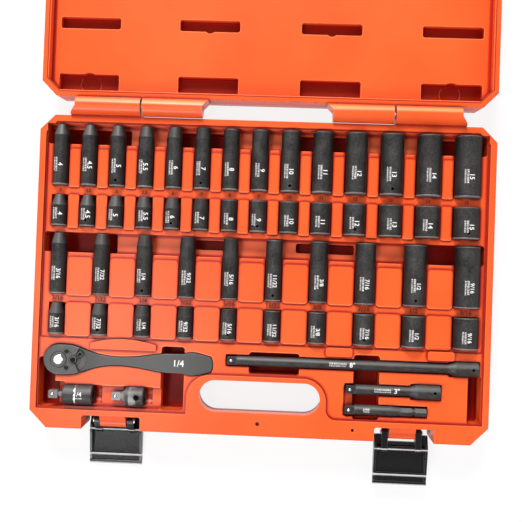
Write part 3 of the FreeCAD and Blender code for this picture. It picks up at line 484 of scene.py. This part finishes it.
def piece_of(name, parts, body):
    """One mesh from several (form, finish) pairs, riding with a body."""
    mesh = bpy.data.meshes.new(name)
    whole = bmesh.new()
    for index, (form, finish) in enumerate(parts):
        bmesh.ops.recalc_face_normals(form, faces=form.faces)
        scrap = bpy.data.meshes.new("scrap")
        for face in form.faces:
            face.material_index = index
        form.to_mesh(scrap)
        form.free()
        whole.from_mesh(scrap)
        bpy.data.meshes.remove(scrap)
        mesh.materials.append(finish.material)
    whole.to_mesh(mesh)
    whole.free()
    piece = bpy.data.objects.new(name, mesh)
    bpy.context.scene.collection.objects.link(piece)
    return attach(piece, body)


def node_of(size):
    """The node that holds the deep and the shallow socket of a size."""
    if "/" in size:
        return "sockets_" + size.replace("/", "_") + "in"
    return "sockets_" + size.replace(".", "_") + "mm"


DIGITS = {"mm": 0.0037, "in": 0.0033}
PRINT_ROWS = ((0.0009, 0.0016), (-0.0012, 0.0012))
PRINT_SHIFT = 0.0040
LYING = 0.0016
LYING_SPREAD = 0.0009
LYING_STEP = 2.4
for order, size in enumerate(METRIC + IMPERIAL):
    node = node_of(size)
    dress(node, phosphate)
    low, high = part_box(node)
    middle = (low.x + high.x) / 2
    radius = (high.x - low.x) / 2
    numbers = []
    prints = []
    for kind, share, length, nose, width in (
            ("deep", 0.67, DEEP_LENGTH, high.y, 0.0115),
            ("shallow", 0.62, SHALLOW_LENGTH, low.y + SHALLOW_LENGTH, 0.0095)):
        centre = Vector((middle, nose - share * length, TOOL_HEIGHT))
        lying = LYING + LYING_SPREAD * math.sin(LYING_STEP * order + len(kind))
        number = lettering(size, DIGITS[node[-2:]])
        wrap(number, centre, -REAR, RIGHT, radius, lying)
        numbers.append((number, etch_white))
        small = fine_print(width, PRINT_ROWS, order)
        wrap(small, centre, -REAR, RIGHT, radius, lying - PRINT_SHIFT)
        prints.append((small, etch_grey))
    label = node.removeprefix("sockets_")
    piece_of("size_" + label, numbers, node)
    piece_of("print_" + label, prints, node)


# The mould leaves each size on the strip between the rows, in the case's own plastic, so
# that a socket finds its place. The marks are shown as thin dark red letters: painted shade
# in place of the raised plastic's own shading.

MARK_SHADE_RED = ((0.16, 0.005, 0.002, 1), (0.50, 0.030, 0.008, 1))
STRIP_METRIC = 0.0668
STRIP_IMPERIAL = -0.0221
DROP_HEIGHT = 0.2


def lay(form, centre, along, across, target):
    """Lay flat marks on top of a node, following its height."""
    for v in form.verts:
        at = centre + along * v.co.x + across * v.co.y
        ground = target.ray_cast(Vector((at.x, at.y, DROP_HEIGHT)), -UP)[1]
        v.co = Vector((at.x, at.y, ground.z + ETCH / 2 + v.co.z))


mark_shade = Finish("moulded_mark", Roughness=0.5)
grain = mark_shade.noise(700.0)
mark_shade.drive(Base_Color=mark_shade.blend(grain, *MARK_SHADE_RED))
moulded = []
for row, sizes, height in ((STRIP_METRIC, METRIC, 0.0026), (STRIP_IMPERIAL, IMPERIAL, 0.0038)):
    for size in sizes:
        low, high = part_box(node_of(size))
        mark = lettering(size, height)
        centre = Vector(((low.x + high.x) / 2, row, 0))
        lay(mark, centre, RIGHT, REAR, nodes["case_base"])
        moulded.append((mark, mark_shade))
piece_of("moulded_sizes", moulded, "case_base")


# The ratchet is forged steel with a satin dark grey finish: round head under a cover with
# two black screws, a bright release button, a black reverse lever and a waisted grip.

SATIN_GREY = (0.075, 0.073, 0.071, 1)
# The edge colours are painted highlights.
SATIN_EDGE_HIGHLIGHT = (0.26, 0.26, 0.255, 1)
BLACKED = (0.006, 0.006, 0.006, 1)
BLACKED_EDGE_HIGHLIGHT = (0.60, 0.60, 0.59, 1)
# A painted shade colour for crevices and joins.
JOINT_SHADE = (0.004, 0.004, 0.004, 1)
SATIN_ROUND = 0.0012


def satin_grey(name, body, edge, edge_share, shine):
    """Dark blasted steel with painted highlights on its edges and painted shade as black lines in
    crevices and where pieces meet.
    """
    satin = Finish(name, Metallic=0.4, Specular_IOR_Level=shine)
    rounded = satin.soft_edges(SATIN_ROUND)
    blast = satin.noise(1800.0, 3.0)
    # Painted shade: crevices and joins blacken by how closed in they are.
    tone = satin.layered(
        satin.blend(satin.edge_share(rounded) * edge_share, body, edge),
        (satin.ramp(satin.openness(CREVICE), 0.92, 0.60) * 0.95, JOINT_SHADE))
    satin.drive(Base_Color=tone,
                Roughness=0.36 + blast * 0.12,
                Normal=satin.bumped(blast, 0.15, 0.0001, rounded))
    return satin


ratchet_grey = satin_grey("ratchet_satin", SATIN_GREY, SATIN_EDGE_HIGHLIGHT, 0.5, 0.5)
ratchet_black = satin_grey("ratchet_black", BLACKED, BLACKED_EDGE_HIGHLIGHT, 0.8, 0.1)
screw_black = satin_grey("screw_black", BLACKED, BLACKED_EDGE_HIGHLIGHT, 0.15, 0.1)
for part in ("handle", "cover", "gear", "pawl"):
    dress("ratchet_" + part, ratchet_grey)
dress("ratchet_lever", ratchet_black)
dress("ratchet_cover_screws", screw_black)

POLISHED = ((0.66, 0.66, 0.67, 1), (0.88, 0.88, 0.88, 1))
polished = Finish("polished_steel", Metallic=1.0)
wipe = polished.noise(250.0)
polished.drive(Base_Color=polished.blend(wipe, *POLISHED), Roughness=0.16 + wipe * 0.14)
for part in ("button", "ball"):
    dress("ratchet_" + part, polished)

RATCHET_MARK = Vector((-0.0655, -0.0722, 0))
drive_mark = lettering("1/4", 0.0052)
lay(drive_mark, RATCHET_MARK, RIGHT, REAR, nodes["ratchet_handle"])
piece_of("ratchet_drive_size", [(drive_mark, etch_white)], "ratchet")


# Extension bars, hex adapter, swivel joint and square adapter are phosphated like the sockets,
# with bright detent balls; the square ends of swivel and adapter are rubbed bare.

ADAPTER_COLLAR = -0.1072
ADAPTER_BAND = (-0.1045, -0.0985)
for tool in ("extension_8in", "extension_3in", "hex_adapter", "swivel_socket", "swivel_pin"):
    dress(tool, phosphate)
dress("swivel_drive", phosphated("rubbed_phosphate", 0.45))
dress("drive_adapter", phosphated("half_rubbed_phosphate", 0.75, ADAPTER_COLLAR, ADAPTER_BAND))
for tool in ("extension_8in", "extension_3in", "hex_adapter", "swivel", "drive_adapter"):
    dress(tool + "_ball", polished)
dress("swivel_ring", polished)

BAR_R = 0.004
BAR_DIGITS = 0.0038
BAR_ROWS = ((0.0010, 0.0016), (-0.0009, 0.0010))
for tool, words, x, print_x, print_width in (("extension_8in", '8"', 0.0756, 0.064, 0.0140),
                                             ("extension_3in", '3"', 0.1120, 0.101, 0.0140),
                                             ("hex_adapter", "", 0.0, 0.0915, 0.0120)):
    low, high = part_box(tool)
    y = (low.y + high.y) / 2
    marks = []
    if words:
        number = lettering(words, BAR_DIGITS)
        wrap(number, Vector((x, y, TOOL_HEIGHT)), RIGHT, REAR, BAR_R, 0.0)
        marks.append((number, etch_white))
    small = fine_print(print_width, BAR_ROWS, tool)
    wrap(small, Vector((print_x, y, TOOL_HEIGHT)), RIGHT, REAR, BAR_R, 0.0)
    marks.append((small, etch_grey))
    piece_of("mark_" + tool, marks, tool)

SWIVEL_MARK = Vector((-0.1455, -0.1006, TOOL_HEIGHT))
SWIVEL_R = 0.0082
swivel_mark = lettering("1/4", 0.0036)
wrap(swivel_mark, SWIVEL_MARK, RIGHT, REAR, SWIVEL_R, 0.0012)
swivel_print = fine_print(0.0075, ((0.0, 0.0012),), "swivel")
wrap(swivel_print, SWIVEL_MARK, RIGHT, REAR, SWIVEL_R, -0.0022)
swivel_marks = [(swivel_mark, etch_white), (swivel_print, etch_grey)]
piece_of("mark_swivel", swivel_marks, "swivel")


# The set lies on a white photographer's table that sweeps up all round it, under a large soft
# light from the left and behind, and is seen from almost straight above.

PAPER = ((0.86, 0.86, 0.86, 1), (0.88, 0.88, 0.88, 1))
TABLE_GLOW = 0.85
white = Finish("white_table", Roughness=0.9)
white.drive(Base_Color=white.blend(white.noise(5.0), *PAPER))
seen = white.node("ShaderNodeLightPath", "Is Camera Ray", {}, {})
mirrored = white.node("ShaderNodeLightPath", "Is Glossy Ray", {}, {})
through = white.node("ShaderNodeLightPath", "Is Transmission Ray", {}, {})
glow = white.node("ShaderNodeEmission", 0, {}, {"Color": (1, 1, 1, 1), "Strength": 1.0})
matt = Value(white, white.shader.outputs[0])
shown = white.node("ShaderNodeMixShader", 0, {},
                   {0: (seen + mirrored + through) * TABLE_GLOW, 1: matt, 2: glow})
white.tree.links.new(shown.socket, white.tree.nodes["Material Output"].inputs["Surface"])

TABLE_R = 2.6
TABLE_RINGS = (0.0, 0.25, 0.5, 1.0)
TABLE_TURNS = 64
TABLE_WELD = 1e-5
TABLE_PLACE = (0, 0.13, -0.0002)
SWEEP_R = 0.6
SWEEP_STEPS = 8
WALL_TOP = 1.8
table = bpy.data.meshes.new("table")
form = bmesh.new()
profile = [form.verts.new((ring * TABLE_R, 0, 0)) for ring in TABLE_RINGS]
for step in range(1, SWEEP_STEPS + 1):
    lift = math.pi / 2 * step / SWEEP_STEPS
    profile.append(form.verts.new((TABLE_R + SWEEP_R * math.sin(lift), 0,
                                   SWEEP_R * (1 - math.cos(lift)))))
profile.append(form.verts.new((TABLE_R + SWEEP_R, 0, WALL_TOP)))
lines = [form.edges.new(pair) for pair in zip(profile, profile[1:])]
bmesh.ops.spin(form, geom=profile + lines, cent=(0, 0, 0), axis=UP, angle=2 * math.pi,
               steps=TABLE_TURNS, use_merge=True)
bmesh.ops.remove_doubles(form, verts=form.verts, dist=TABLE_WELD)
for face in form.faces:
    face.smooth = True
form.to_mesh(table)
form.free()
table.materials.append(white.material)
floor = bpy.data.objects.new("table", table)
floor.location = TABLE_PLACE
bpy.context.scene.collection.objects.link(floor)

SKY_STRENGTH = 0.30
scene = bpy.context.scene
scene.view_settings.view_transform = "Standard"
sky = bpy.data.worlds.new("studio")
sky.use_nodes = True
sky.node_tree.nodes["Background"].inputs["Color"].default_value = (1, 1, 1, 1)
sky.node_tree.nodes["Background"].inputs["Strength"].default_value = SKY_STRENGTH
scene.world = sky


def softbox(name, place, aim, width, power):
    """A square area light at a place, turned to what it lights."""
    lamp = bpy.data.lights.new(name, "AREA")
    lamp.shape = "SQUARE"
    lamp.size = width
    lamp.energy = power
    holder = bpy.data.objects.new(name, lamp)
    holder.location = place
    holder.rotation_euler = (Vector(aim) - Vector(place)).to_track_quat("-Z", "Y").to_euler()
    scene.collection.objects.link(holder)


softbox("key", (-0.35, 2.2, 1.75), (0, 0.1, 0), 0.8, 78.0)
softbox("window", (-0.6, -1.3, 1.3), (0, 0, 0), 0.7, 17.0)
softbox("sheen", (-0.47, -0.2, 1.6), (-0.1, -0.05, 0), 0.35, 4.5)
softbox("fill", (1.3, -0.2, 1.4), (0, 0.1, 0), 1.2, 5.0)

CAMERA_PLACE = (0.0171, 0.0060, 0.6291)
CAMERA_TURN = (0.82, 1.71, 2.08)
FOCAL_PIXELS = 738.6
PHOTO_WIDTH = 522
camera = bpy.data.cameras.new("camera")
camera.sensor_width = 36.0
camera.lens = FOCAL_PIXELS / PHOTO_WIDTH * camera.sensor_width
viewer = bpy.data.objects.new("camera", camera)
viewer.location = CAMERA_PLACE
viewer.rotation_euler = [math.radians(a) for a in CAMERA_TURN]
scene.collection.objects.link(viewer)
scene.camera = viewer
